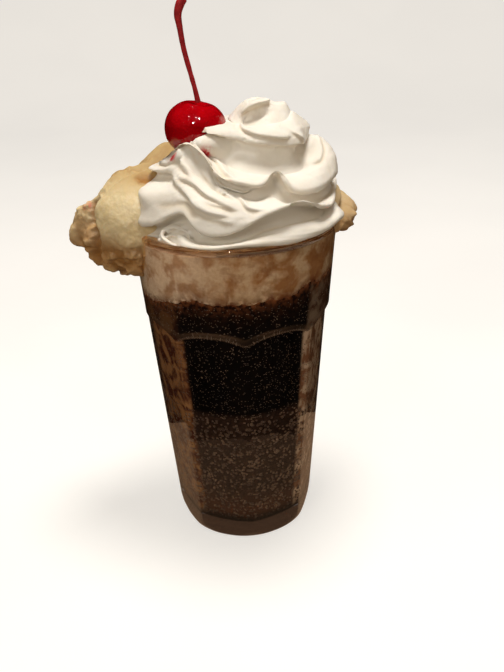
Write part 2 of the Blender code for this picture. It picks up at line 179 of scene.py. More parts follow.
def ringsAlong(path, radius, around, flat=1.0):
    # rings of a radius carried along a path that stays near the XZ plane, made flatter across it
    along = np.gradient(path, axis=0)
    along /= np.linalg.norm(along, axis=1)[:, None]
    side = np.cross((0.0, 1.0, 0.0), along)
    side /= np.linalg.norm(side, axis=1)[:, None]
    other = np.cross(along, side)
    turn = np.radians(np.arange(around) * 360 / around)
    ring = side[:, None] * (flat * np.cos(turn))[:, None] + other[:, None] * np.sin(turn)[:, None]
    return path[:, None] + ring * radius[..., None]


def latticeNoise(points, cell, seed):
    # a seeded random value at each corner of a cubic lattice, blended smoothly between; -1 to 1
    side = 32
    lattice = np.random.default_rng(seed).uniform(-1, 1, (side, side, side))
    scaled = np.asarray(points) / cell + 3 * side
    low = np.floor(scaled).astype(int)
    part = scaled - low
    part = part * part * (3 - 2 * part)
    total = np.zeros(scaled.shape[:-1])
    for corner in product((0, 1), repeat=3):
        share = np.prod(np.where(corner, part, 1 - part), axis=-1)
        index = (low + corner) % side
        total += share * lattice[index[..., 0], index[..., 1], index[..., 2]]
    return total


def layeredNoise(points, cell, seed, layers=3):
    # lattice noise plus finer layers, each with half the cell and half the strength
    return sum(latticeNoise(points, cell / 2 ** n, seed + n) / 2 ** n for n in range(layers))


def ease(value):
    # 0 below 0, 1 above 1, smooth between
    value = np.clip(value, 0, 1)
    return value * value * (3 - 2 * value)


def bell(distance, width):
    # 1 at no distance, fading as exp(-(distance / width) squared)
    return np.exp(-(distance / width) ** 2)


def bump(angle, center, width):
    # a bell round an angle in degrees
    return bell((angle - center + 180) % 360 - 180, width)


def nearness(points, center, size):
    # exp(-distance squared) from a center, with the distance counted in sizes
    away = (points - center) / np.array(size)
    return np.exp(-(away ** 2).sum(axis=-1))[..., None]


def degreesFrom(aim, directions):
    # angle in degrees between an aim and unit vectors
    aim = np.array(aim) / np.linalg.norm(aim)
    return np.degrees(np.arccos(np.clip(directions @ aim, -1, 1)))


def gridNormals(grid):
    # cross product of the steps round and up a grid of rings, as unit vectors
    aroundStep = np.roll(grid, -1, axis=1) - np.roll(grid, 1, axis=1)
    upStep = np.gradient(grid, axis=0)
    normal = np.cross(aroundStep, upStep)
    return normal / np.maximum(np.linalg.norm(normal, axis=-1, keepdims=True), 1e-9)


def placeRound(radius, angle, height):
    # places at a radius and a height, at an angle in radians from the front
    return np.stack((radius * np.sin(angle), -radius * np.cos(angle), height), axis=-1)


# Helpers for materials

def tone(red, green, blue):
    # a colour as seen, 0 to 255, made linear
    seen = np.array((red, green, blue)) / 255
    return (*np.where(seen <= 0.04045, seen / 12.92, ((seen + 0.055) / 1.055) ** 2.4).tolist(), 1.0)


class Finish:
    # a material with its Principled BSDF and short ways to add and link nodes
    def __init__(self, name):
        self.material = bpy.data.materials.new(name)
        self.material.use_nodes = True
        self.tree = self.material.node_tree
        self.shader = self.tree.nodes["Principled BSDF"]
        self.output = self.tree.nodes["Material Output"]

    def add(self, kind, inputs=None, **settings):
        node = self.tree.nodes.new(kind)
        for key, value in settings.items():
            setattr(node, key, value)
        for key, value in (inputs or {}).items():
            self.feed(node.inputs[key], value)
        return node

    def feed(self, socket, value):
        if isinstance(value, bpy.types.NodeSocket):
            self.tree.links.new(value, socket)
        else:
            socket.default_value = value

    def set(self, **values):
        for key, value in values.items():
            self.feed(self.shader.inputs[key.replace("_", " ")], value)

    def place(self):
        # the object's own coordinates, in metres
        return self.add("ShaderNodeTexCoord").outputs["Object"]

    def along(self, vector, axis):
        # one coordinate of a vector: X, Y or Z
        return self.add("ShaderNodeSeparateXYZ", dict(Vector=vector)).outputs[axis]

    def mottle(self, vector, scale, low, high, detail=3.0, warp=0.0):
        group = self.add("ShaderNodeGroup", node_tree=mottleGroup())
        inputs = dict(Vector=vector, Scale=scale, Detail=detail, Warp=warp, Low=low, High=high)
        for key, value in inputs.items():
            self.feed(group.inputs[key], value)
        return group.outputs["Mask"]

    def blend(self, mask, first, second):
        mix = self.add("ShaderNodeMix", data_type="RGBA")
        for index, value in ((0, mask), (6, first), (7, second)):
            self.feed(mix.inputs[index], value)
        return mix.outputs[2]

    def tint(self, color, mask, share, added):
        # a share of another colour laid over a colour where the mask is 1
        return self.blend(self.math("MULTIPLY", mask, share), color, added)

    def math(self, operation, *values):
        node = self.add("ShaderNodeMath", operation=operation)
        for socket, value in zip(node.inputs, values):
            self.feed(socket, value)
        return node.outputs[0]

    def mask(self, label):
        # values that the mesh carries under a name
        return self.add("ShaderNodeAttribute", attribute_name=label).outputs["Fac"]

    def ramp(self, value, fromLow, fromHigh, toLow=0.0, toHigh=1.0):
        # runs smoothly from one level to the other while the value crosses its range
        node = self.add("ShaderNodeMapRange", interpolation_type="SMOOTHSTEP")
        for index, item in enumerate((value, fromLow, fromHigh, toLow, toHigh)):
            self.feed(node.inputs[index], item)
        return node.outputs[0]

    def spot(self, vector, center, radius, soft):
        # 1 within a radius of a point in mm, fading to 0
        away = self.add("ShaderNodeVectorMath", operation="DISTANCE")
        self.feed(away.inputs[0], vector)
        away.inputs[1].default_value = np.array(center) * mm
        return self.ramp(away.outputs["Value"], radius * mm, (radius + soft) * mm, 1.0, 0.0)

    def relief(self, height, distance, strength):
        node = self.add("ShaderNodeBump", dict(Strength=strength, Distance=distance, Height=height))
        self.set(Normal=node.outputs["Normal"])


def mottleGroup():
    # one shared group: noise on a vector, turned into a mask between two levels
    made = bpy.data.node_groups.get("mottle")
    if made:
        return made
    made = bpy.data.node_groups.new("mottle", "ShaderNodeTree")
    made.interface.new_socket("Vector", in_out="INPUT", socket_type="NodeSocketVector")
    for name in ("Scale", "Detail", "Warp", "Low", "High"):
        made.interface.new_socket(name, in_out="INPUT", socket_type="NodeSocketFloat")
    made.interface.new_socket("Mask", in_out="OUTPUT", socket_type="NodeSocketFloat")
    inside = made.nodes.new("NodeGroupInput")
    outside = made.nodes.new("NodeGroupOutput")
    noise = made.nodes.new("ShaderNodeTexNoise")
    level = made.nodes.new("ShaderNodeMapRange")
    for name, socket in dict(Vector="Vector", Scale="Scale", Detail="Detail", Warp="Distortion").items():
        made.links.new(inside.outputs[name], noise.inputs[socket])
    made.links.new(noise.outputs[0], level.inputs[0])
    made.links.new(inside.outputs["Low"], level.inputs[1])
    made.links.new(inside.outputs["High"], level.inputs[2])
    made.links.new(level.outputs[0], outside.inputs["Mask"])
    return made


# Glass

# pairs are (radius, height) in the foot's curve and (height, radius) in the inside; panelTurn is in radians
glassShape = dict(
    height=150.0, rimRadius=44.4, rimBead=1.4,
    bandHeights=(105.5, 107.5, 113.0, 150.0), bandRadii=(40.5, 41.0, 41.3, 44.4),
    ledge=105.5, ledgeCorner=40.5, footCorner=32.5, footHeight=8.0,
    footCurve=((27.5, 0.0), (28.9, 0.3), (29.9, 1.3), (31.6, 4.2), (32.5, 8.0)),
    panels=8, panelTurn=0.068, archRise=3.2, archShape=2.2, ledgeStep=3.4, cornerSoft=0.30,
    base=7.5,
    inside=((7.5, 22.4), (8.0, 24.3), (9.0, 25.7), (10.6, 26.9), (13.0, 27.8), (60.0, 31.65),
            (104.0, 35.0), (113.0, 36.6), (128.0, 38.8), (150.0, 41.6)),
)


def innerRadius(height):
    # radius of the glass's smooth inside at a height
    heights, radii = np.array(glassShape["inside"]).T
    return np.interp(height, heights, radii)


def glassFinish():
    # clear glass that lets the lamps light what is inside; the foot and the rim bead are tinted brown,
    # painted shade standing for the dark drink and the dim room seen through them
    finish = Finish("clearGlass")
    height = finish.along(finish.place(), "Z")
    # painted shade: the foot is tinted dark brown for the drink seen through it
    color = finish.blend(finish.ramp(height, 0.0165, 0.0115), tone(250, 247, 241), tone(14, 4, 1.5))
    # painted shade: the rim bead is tinted brown for the dim room and foam seen through it
    color = finish.blend(finish.ramp(height, 0.1462, 0.1478), color, tone(196, 158, 122))
    finish.set(Base_Color=color, Roughness=0.02, IOR=1.5, Transmission_Weight=1.0,
               Specular_IOR_Level=0.5)
    through = finish.add("ShaderNodeBsdfTransparent", dict(Color=(0.90, 0.88, 0.85, 1)))
    rays = finish.add("ShaderNodeLightPath")
    mix = finish.add("ShaderNodeMixShader")
    finish.feed(mix.inputs[0], rays.outputs["Is Shadow Ray"])
    finish.feed(mix.inputs[1], finish.shader.outputs[0])
    finish.feed(mix.inputs[2], through.outputs[0])
    finish.feed(finish.output.inputs["Surface"], mix.outputs[0])
    return finish.material


def makeGlass():
    # One closed grid: out along the bottom, up the outside, over the bead, down the inside.
    # Below the arch the outside is the softened smaller of the turned wall and a flat panel,
    # apothem / cos(angle from the panel's middle); above it the band is turned.
    shape = glassShape
    half = np.pi / shape["panels"]
    inPanel = half * np.sin(np.linspace(-1, 1, 32, endpoint=False) * np.pi / 2)
    panelMiddle = shape["panelTurn"] + half + 2 * half * np.arange(shape["panels"])
    angle = (panelMiddle[:, None] + inPanel).ravel()
    around = len(angle)
    fromMiddle = np.tile(inPanel, shape["panels"])
    share = np.abs(np.sin(fromMiddle) / np.sin(half))
    arch = shape["archRise"] * (1 - share ** shape["archShape"])

    ledge, step, bead, top = (shape[key] for key in ("ledge", "ledgeStep", "rimBead", "height"))
    rows = np.concatenate((np.linspace(0, 8, 13), np.linspace(9.5, ledge - 2.5, 60),
                           np.linspace(ledge - 2, ledge - 0.05, 6),
                           ledge + step * np.linspace(0, 1, 20) ** 2,
                           np.linspace(ledge + step + 0.7, top - bead, 34)))[:, None]
    height = rows + arch * bell(rows - ledge, 10)
    footRadii, footHeights = np.array(shape["footCurve"]).T
    turned = np.where(height < shape["footHeight"], np.interp(height, footHeights, footRadii),
                      np.interp(height, (shape["footHeight"], ledge),
                                (shape["footCorner"], shape["ledgeCorner"])))
    slope = (shape["ledgeCorner"] - shape["footCorner"]) / (ledge - shape["footHeight"])
    apothem = np.cos(half) * (shape["footCorner"] + slope * (height - shape["footHeight"]))
    flat = apothem / np.cos(fromMiddle)
    soft = shape["cornerSoft"]
    low = np.minimum(turned, flat) - soft * np.log1p(np.exp(-np.abs(turned - flat) / soft))
    band = np.interp(height, shape["bandHeights"], shape["bandRadii"])
    above = np.sqrt(1 - (1 - np.clip((rows - ledge) / step, 0, 1)) ** 2)    # a quarter round
    outside = low * (1 - above) + band * above

    roll = np.radians(np.linspace(10, 170, 15))
    rimR = shape["rimRadius"] - bead + bead * np.cos(roll)
    rimZ = top - bead + bead * np.sin(roll)
    down = np.concatenate((np.linspace(top - bead - 0.2, 16, 50), np.linspace(15, shape["base"], 18)))
    under, floor = np.linspace(3, 27, 8), np.linspace(22, 3, 8)
    radii = [np.tile(part[:, None], around) for part in (under, rimR, innerRadius(down), floor)]
    radii = np.concatenate((radii[0], outside, *radii[1:]))
    heights = [np.tile(part[:, None], around) for part in (0 * under, rimZ, down, 0 * floor + shape["base"])]
    heights = np.concatenate((heights[0], height, *heights[1:]))
    points, faces = closeRings(placeRound(radii, angle, heights), ((0, 0, 0), (0, 0, shape["base"])))
    putMesh("glassTumbler", points, faces, glassFinish(), ("glass",))


# Soda, foam and bubbles

# a sag lifts the line between soda and foam round an angle: (angle, width, lift)
drinkShape = dict(
    floor=7.5, sodaTop=126.4, foamTop=146.2, intoWall=0.15,
    sags=((-80, 26, -7.5), (-48, 16, -1.5), (5, 30, -0.8), (55, 22, 1.6), (150, 40, 1.5)),
    raggedness=1.5, raggedCell=4.0, frothReach=2.6, band=2.8,
    bubbles=9000, bubbleSeed=11, fizzTop=124.0, lowest=9.5, denseBelow=68.0, denseShare=0.42,
    smallBubble=(0.16, 0.34), largeBubble=(0.50, 0.84), squash=(0.7, 1.1), scatter=1.5, sink=0.1,
)


def foamLine(angle):
    # height of the ragged line between soda and foam round the glass; angle in degrees
    line = np.full(np.shape(angle), drinkShape["sodaTop"])
    for center, width, lift in drinkShape["sags"]:
        line = line + lift * bump(angle, center, width)
    turned = np.radians(angle)
    ring = 38 * np.stack((np.sin(turned), np.cos(turned), 0 * turned), axis=-1)
    return line + drinkShape["raggedness"] * layeredNoise(ring, drinkShape["raggedCell"], 21, 3)


def filling(low, high, reach, rowCount):
    # a closed turned body: floor, wall that follows the glass's inside, lid; low and high per angle
    around = len(high)
    angle = np.radians(np.arange(around) * 360 / around)
    inward = np.linspace(0.1, 1, 6)[:, None]
    wallZ = low + (high - low) * np.linspace(0, 1, rowCount)[:, None]
    wallR = innerRadius(wallZ) + reach
    radii = np.concatenate((inward[:-1] * wallR[0], wallR, inward[::-1][1:] * wallR[-1]))
    heights = np.concatenate((np.tile(wallZ[0], (5, 1)), wallZ, np.tile(wallZ[-1], (5, 1))))
    return closeRings(placeRound(radii, angle, heights),
                      ((0, 0, wallZ[0].mean()), (0, 0, wallZ[-1].mean())))


def sodaFinish():
    # near black at the front, browner low down, painted light behind the side panels (a reddish glow through
    # the drink's thin edges at the left, painted reflections at the right), a painted glow of light through
    # the drink underneath, a painted highlight band over the glass's ledge, dark red-brown froth under the
    # foam
    finish = Finish("darkSoda")
    vector = finish.place()
    across, height = finish.along(vector, "X"), finish.along(vector, "Z")
    fine = finish.mottle(vector, 900, 0.40, 0.62, 2)
    broad = finish.mottle(vector, 55, 0.35, 0.65, 3)
    streaks = finish.mottle(vector, 160, 0.42, 0.58, 3, 0.5)
    color = finish.blend(broad, tone(3, 1, 0), tone(9, 4, 2))
    low = finish.blend(fine, tone(31, 19, 13), tone(45, 29, 20))
    color = finish.blend(finish.ramp(height, 0.0715, 0.0675), color, low)
    color = finish.blend(finish.ramp(height, 0.030, 0.012), color, tone(62, 34, 20))
    # painted light: a reddish glow through the drink's thin edges behind the left side panel, and painted
    # reflections behind the right one
    left = finish.blend(streaks, tone(58, 28, 16), tone(118, 80, 48))
    right = finish.blend(streaks, tone(100, 66, 44), tone(158, 130, 104))
    paintedSideLight = finish.blend(finish.ramp(across, -0.01, 0.01), left, right)
    color = finish.blend(finish.mask("paintedSideLight"), color, paintedSideLight)
    # painted highlight: a light band over the glass's ledge arch
    glint = finish.math("MULTIPLY", finish.mask("ledge"), finish.ramp(broad, 0, 1, 0.3, 0.8))
    color = finish.blend(glint, color, tone(78, 58, 42))
    froth = finish.blend(finish.mottle(vector, 520, 0.38, 0.60, 3), tone(30, 11, 5), tone(112, 64, 36))
    color = finish.blend(finish.mask("froth"), color, froth)
    # painted glow: the drink's underside is light brown, standing for light through the drink seen in the
    # glass's foot
    color = finish.blend(finish.ramp(height, 0.0090, 0.0078), color, tone(150, 92, 56))
    finish.set(Base_Color=color, Roughness=0.45, Specular_IOR_Level=0.02)
    return finish.material


def foamFinish():
    # beige-brown froth: pale patches with soft edges and brown clots, darker next to the soda
    finish = Finish("brownFoam")
    vector = finish.place()
    patches = finish.mottle(vector, 105, 0.40, 0.56, 4, 0.35)
    clots = finish.mottle(vector, 190, 0.52, 0.62, 3)
    fine = finish.mottle(vector, 800, 0.35, 0.65, 3)
    grains = finish.mottle(vector, 420, 0.30, 0.52, 3)
    color = finish.blend(patches, tone(134, 92, 56), tone(174, 144, 110))
    color = finish.tint(color, clots, 0.45, tone(108, 66, 36))
    left = finish.math("MULTIPLY", finish.ramp(finish.along(vector, "X"), 0.002, -0.026),
                       finish.ramp(patches, 0, 1, 0.35, 1.0))
    color = finish.tint(color, left, 0.70, tone(190, 166, 140))
    dark = finish.math("MULTIPLY", finish.mask("froth"), grains)
    color = finish.tint(color, dark, 0.9, tone(72, 34, 16))
    color = finish.tint(color, fine, 0.22, tone(98, 62, 38))
    finish.set(Base_Color=color, Roughness=0.7, Specular_IOR_Level=0.02)
    return finish.material


def bubbleFinish():
    # brown-grey beads, darker where they are few and fine
    finish = Finish("paleBubble")
    vector = finish.place()
    height = finish.along(vector, "Z")
    vary = finish.mottle(vector, 240, 0.35, 0.65, 2)
    high = finish.blend(vary, tone(42, 30, 22), tone(88, 68, 50))
    low = finish.blend(vary, tone(62, 44, 32), tone(98, 75, 57))
    color = finish.blend(finish.ramp(height, 0.072, 0.066), high, low)
    finish.set(Base_Color=color, Roughness=0.35, Specular_IOR_Level=0.12)
    return finish.material


def icosahedron():
    # twelve corners at (0, 1, golden ratio) turned round the axes, and the twenty faces between
    gold = (1 + 5 ** 0.5) / 2
    corners = np.array([(0, a, b * gold) for a in (-1, 1) for b in (-1, 1)], float)
    corners = np.concatenate((corners, np.roll(corners, 1, axis=1), np.roll(corners, 2, axis=1)))
    corners /= np.linalg.norm(corners[0])
    trios = np.array(list(combinations(range(12), 3)))
    sides = np.linalg.norm(corners[trios] - corners[np.roll(trios, 1, axis=1)], axis=2)
    trios = trios[(sides < 1.1).all(axis=1)]
    first, second, third = (corners[trios[:, n]] for n in range(3))
    inward = (np.cross(second - first, third - first) * (first + second + third)).sum(axis=1) < 0
    trios[inward] = trios[inward][:, ::-1]
    return corners, trios


def makeBubbles():
    # small balls on the inside of the glass, few and fine near the top, large and dense below
    shape = drinkShape
    draw = np.random.default_rng(shape["bubbleSeed"])
    count = shape["bubbles"]
    angle = draw.uniform(0, 360, count)
    level = draw.uniform(0, 1, count)
    dense = draw.uniform(0, 1, count) < shape["denseShare"]
    split, lowest, top = shape["denseBelow"], shape["lowest"], shape["fizzTop"]
    height = np.where(dense, lowest + (split - lowest) * level, split + (top - split) * level)
    height = np.clip(height + draw.normal(0, shape["scatter"], count) * dense, lowest, top)
    small = draw.uniform(*shape["smallBubble"], count)
    large = draw.uniform(*shape["largeBubble"], count)
    blend = ease((split + 3 - height) / 6)
    size = small * (1 - blend) + large * blend
    radius = innerRadius(height) + shape["intoWall"] - shape["sink"] * size
    center = placeRound(radius, np.radians(angle), height)
    corners, trios = icosahedron()
    stretch = np.stack((np.ones(count), np.ones(count), draw.uniform(*shape["squash"], count)), axis=-1)
    points = center[:, None, :] + corners * (size[:, None, None] * stretch[:, None, :])
    faces = (trios + 12 * np.arange(count)[:, None, None]).reshape(-1, 3).tolist()
    putMesh("sodaBubbles", points.reshape(-1, 3), faces, bubbleFinish())


def drinkMasks(points, line):
    # froth fades away from the foam line; the side mask is 1 behind the panels next to the front two, where
    # painted light stands for a glow through the drink's thin edges and for reflections; ledge is a band
    # over the arch, where a highlight is painted, whose edge is at ledge + rise * (1 - share of the half
    # panel ** shape)
    glass = glassShape
    angle = np.degrees(np.arctan2(points[:, 0], -points[:, 1]))
    lineHere = np.interp(angle % 360, np.linspace(0, 360, len(line) + 1), np.append(line, line[0]))
    away = np.abs(points[:, 2] - lineHere)
    turn, panel = np.degrees(glass["panelTurn"]), 360 / glass["panels"]
    share = np.abs(((angle - turn) % panel) / (panel / 2) - 1)
    up = points[:, 2] - (glass["ledge"] + glass["archRise"] * (1 - share ** glass["archShape"]))
    band = drinkShape["band"]
    # the band over the arch where a highlight is painted
    ledge = ease(up / 0.8 + 0.5) * ease((band - up) / 0.8 + 0.5) * (0.35 + 0.65 * bell(up - band, 1.0))
    beyond = np.abs(angle - turn) - panel
    # painted light behind the side panels, weaker above the ledge
    paintedSideLight = ease(beyond / 3 + 0.5) * (1 - 0.75 * ease((beyond - panel) / 12 + 0.5))
    paintedSideLight *= 0.30 + 0.70 * ease(-up / 1.5)
    return dict(froth=np.exp(-away / drinkShape["frothReach"]), ledge=ledge, paintedSideLight=paintedSideLight)


def makeDrink():
    # the soda runs up to the ragged line, and the foam from just under it to its flat top
    around = 288
    angle = np.arange(around) * 360 / around
    line = foamLine(angle)
    bottom = np.full(around, drinkShape["floor"] - drinkShape["intoWall"])
    points, faces = filling(bottom, line, drinkShape["intoWall"], 180)
    putMesh("sodaFilling", points, faces, sodaFinish(), ("soda",), drinkMasks(points, line))
    points, faces = filling(line - 0.3, np.full(around, drinkShape["foamTop"]),
                            drinkShape["intoWall"] + 0.03, 60)
    putMesh("foamFilling", points, faces, foamFinish(), ("foam",), drinkMasks(points, line))
    makeBubbles()


# Scoops

# collar, crease and back are (angle from the axis, width, height); a lump is (direction, height, width)
scoopTexture = dict(collar=(124, 15, 3.4), crease=(103, 6, -2.0), back=(180, 34, -5.0), ragged=2.4,
                    uneven=0.5, lumps=1.7, lumpCell=7.0, smooth=0.10, grain=0.05, grainCell=1.0,
                    drag=0.12, dragCell=3.0, dragStretch=(0.25, 1.6, 1.0), crumb=2.0, crumbCell=6.0,
                    crumbBelow=154, crumbLeftOf=-54, fineCrumb=0.3, fineCrumbCell=1.8)
scoops = dict(
    scoopLeftMelting=dict(
        node="scoop_left", center=(-39.3, 2.0, 148.5), radius=25.0, flat=1.0, axis=(0.5, -0.8, -0.35),
        lumps=(((-1.0, -0.1, -0.20), 5.0, 20), ((-0.75, -0.3, -0.75), 1.0, 20),
               ((-0.75, 0.1, 0.60), -7.5, 21), ((-0.30, 0.3, 0.90), -7.0, 24),
               ((0.42, 0.34, 0.85), 9.5, 15), ((-0.15, -0.36, -0.95), -3.0, 20)),
        clefts=(dict(start=(-60.0, -6.0, 160.0), end=(-58.8, -12.6, 148.0), width=2.2, depth=3.6),
                dict(start=(-58.8, -12.6, 148.0), end=(-58.8, -10.0, 137.0), width=2.2, depth=2.8),
                dict(start=(-36.0, -9.5, 169.6), end=(-28.5, -9.0, 169.6), width=2.2, depth=1.6)),
        grid=(210, 360)),
    scoopRightPeeping=dict(
        node="scoop_right", center=(28.0, 10.0, 149.5), radius=21.0, flat=0.80, axis=(-0.5, -0.3, 0.8),
        lumps=(((1.0, -0.25, -0.12), 1.4, 20), ((0.6, -0.7, -0.1), 1.0, 16)), clefts=(),
        grid=(130, 220)),
)


def sineNoise(points, scale, seed):
    # the soft unevenness of the solids: a mean of nine waves in seeded directions
    draw = np.random.default_rng(seed)
    total = np.zeros(points.shape[:-1])
    for _ in range(9):
        direction = draw.normal(size=3)
        direction /= np.linalg.norm(direction)
        phase = draw.uniform(0, 2 * np.pi)
        total += np.sin(points @ direction / scale * 2 * np.pi * draw.uniform(0.6, 1.5) + phase)
    return total / 9


def scoopFinish():
    # vanilla: cream coloured where it is frozen, golden melt with painted shade in the clefts and hollows,
    # painted warm shade low down and high up, duller at the right, with a spot of cherry juice at the far
    # left
    finish = Finish("vanillaIce")
    vector = finish.place()
    height = finish.along(vector, "Z")
    broad = finish.mottle(vector, 60, 0.35, 0.65, 4)
    icy = finish.mottle(vector, 420, 0.42, 0.66, 3)
    color = finish.blend(broad, tone(214, 190, 142), tone(233, 214, 170))
    color = finish.tint(color, icy, 0.3, tone(238, 222, 190))
    color = finish.blend(finish.ramp(finish.along(vector, "X"), 0.02, 0.04, 0.0, 0.6), color,
                         tone(178, 146, 104))
    # painted shade: golden brown low down, where the scoop's underside is in shade
    low = finish.math("MULTIPLY", finish.ramp(height, 0.157, 0.134), finish.ramp(broad, 0, 1, 0.60, 0.95))
    color = finish.blend(low, color, tone(178, 120, 54))
    # painted shade high up: the top is darker and browner
    color = finish.tint(color, finish.ramp(height, 0.163, 0.172), 0.8, tone(172, 140, 88))
    # golden melt with painted shade in the clefts and hollows
    color = finish.tint(color, finish.mask("meltAndHollowShade"), 0.85, tone(150, 98, 38))
    juice = finish.math("MULTIPLY", finish.spot(vector, (-62.5, -5.5, 159.4), 2.2, 2.4),
                        finish.mottle(vector, 380, 0.35, 0.6, 3))
    color = finish.tint(color, juice, 0.8, tone(206, 60, 66))
    finish.set(Base_Color=color, Roughness=finish.ramp(icy, 0, 1, 0.60, 0.42),
               Subsurface_Weight=0.15, Subsurface_Radius=(1.0, 0.6, 0.35), Subsurface_Scale=0.002,
               Specular_IOR_Level=0.35)
    finish.relief(finish.mottle(vector, 600, 0.3, 0.7, 4), 0.0003, 0.28)
    return finish.material


def makeScoop(name, scoop, finish):
    # direction from angles about the scoop's axis; radius = the solid's formula plus crags behind the
    # collar, drag lines on the dome, an icy grain and crumbs low down, less the clefts
    shape, center = scoopTexture, np.array(scoop["center"])
    rows, around = scoop["grid"]
    axis = Vector(scoop["axis"]).normalized()
    side = axis.orthogonal().normalized()
    local = ballRings(rows, around)
    direction = local @ np.array((side, axis.cross(side), axis))
    ball = direction * scoop["radius"]
    away = degreesFrom((0, 0, 1), local)
    size = np.full(len(direction), scoop["radius"])
    for angle, width, height in (shape["collar"], shape["crease"], shape["back"]):
        size += height * bell(away - angle, width)
    ragged = np.clip((away - shape["crease"][0] + 8) / 30, 0, 1)
    size += shape["ragged"] * ragged * sineNoise(ball, 15, 4) + shape["uneven"] * sineNoise(ball, 12, 8)
    for toward, amount, width in scoop["lumps"]:
        size += amount * bell(degreesFrom(toward, direction), width)
    puffs = np.abs(layeredNoise(ball, shape["lumpCell"], 31, 4))
    size += shape["lumps"] * (shape["smooth"] + (1 - shape["smooth"]) * ragged) * (puffs - 0.30)
    streak = layeredNoise(local * scoop["radius"] * shape["dragStretch"], shape["dragCell"], 51, 3)
    size += shape["drag"] * (1 - 0.6 * ragged) * streak
    size += shape["grain"] * layeredNoise(ball, shape["grainCell"], 71, 2)

    reached = direction * size[:, None] + center
    crumbly = np.maximum(ease((shape["crumbBelow"] - reached[:, 2]) / 14),
                         0.7 * ease((shape["crumbLeftOf"] - reached[:, 0]) / 6))
    crumbs = layeredNoise(reached, shape["crumbCell"], 73, 3)
    size += crumbly * (shape["crumb"] * (ease(crumbs * 1.1 + 0.5) - 0.5)
                       + shape["fineCrumb"] * layeredNoise(reached, shape["fineCrumbCell"], 75, 2))
    # the melt mask also marks hollows between lumps and crumbs, where shade is painted
    meltAndHollowShade = np.maximum(np.clip((0.22 - puffs) * 3 * ragged, 0, 1), crumbly * ease(0.35 - crumbs * 1.2))

    rough = 1.2 * layeredNoise(ball, 5, 35, 3)
    for cleft in scoop["clefts"]:
        start, end = np.array(cleft["start"]), np.array(cleft["end"])
        fromStart, run = direction * size[:, None] + center - start, end - start
        share = np.clip(fromStart @ run / (run @ run), 0, 1)[:, None]
        fromLine = np.linalg.norm(fromStart - share * run, axis=1) + rough
        cut = bell(np.clip(fromLine - 1.5, 0, None), cleft["width"])
        size -= cleft["depth"] * cut
        meltAndHollowShade = np.maximum(meltAndHollowShade, cut)
    points = keepOffGlass(direction * size[:, None] * (1, 1, scoop["flat"]) + center)
    putMesh(name, points, wrapFaces(rows, around), finish, (scoop["node"],),
            dict(meltAndHollowShade=meltAndHollowShade))


# gap is kept to the glass; what lies on the rim steps down to the foam over a width at a radius
rimSeat = dict(gap=0.1, liftFrom=38.0, stepAt=40.4, stepWidth=1.3, beadReach=1.5)


def keepOffGlass(points):
    # what hangs over the rim is pushed clear of the glass's bead and outer wall
    points = points.copy()
    radius, height = np.hypot(points[:, 0], points[:, 1]), points[:, 2]
    gap = rimSeat["gap"]
    bead = glassShape["rimBead"] + gap
    outward = radius - (glassShape["rimRadius"] - glassShape["rimBead"])
    rimTop = glassShape["height"] - glassShape["rimBead"]
    over = rimTop + np.sqrt(np.clip(bead ** 2 - outward ** 2, 0, None))
    onBead = (np.abs(outward) < bead) & (height > rimTop - rimSeat["beadReach"])
    height[onBead] = np.maximum(height[onBead], over[onBead])
    below = (height < rimTop) & ~onBead
    wall = np.interp(height, glassShape["bandHeights"], glassShape["bandRadii"]) + gap
    inside = innerRadius(height) - gap
    target = np.where(radius > (wall + inside) / 2, np.maximum(radius, wall), np.minimum(radius, inside))
    points[:, :2] *= np.where(below, target / np.maximum(radius, 1e-6), 1)[:, None]
    return points


def restOnRim(points):
    # what lies on the rim is lifted over the bead, with a soft step down to the foam inside it
    points = points.copy()
    radius = np.hypot(points[:, 0], points[:, 1])
    seat, foam = glassShape["height"] + rimSeat["gap"], drinkShape["foamTop"] + rimSeat["gap"]
    lowest = foam + (seat - foam) * ease((radius - rimSeat["stepAt"]) / rimSeat["stepWidth"])
    lifted = np.maximum(points[:, 2], lowest)
    points[:, 2] = np.where(radius > rimSeat["liftFrom"], lifted, points[:, 2])
    return points


# Whipped cream

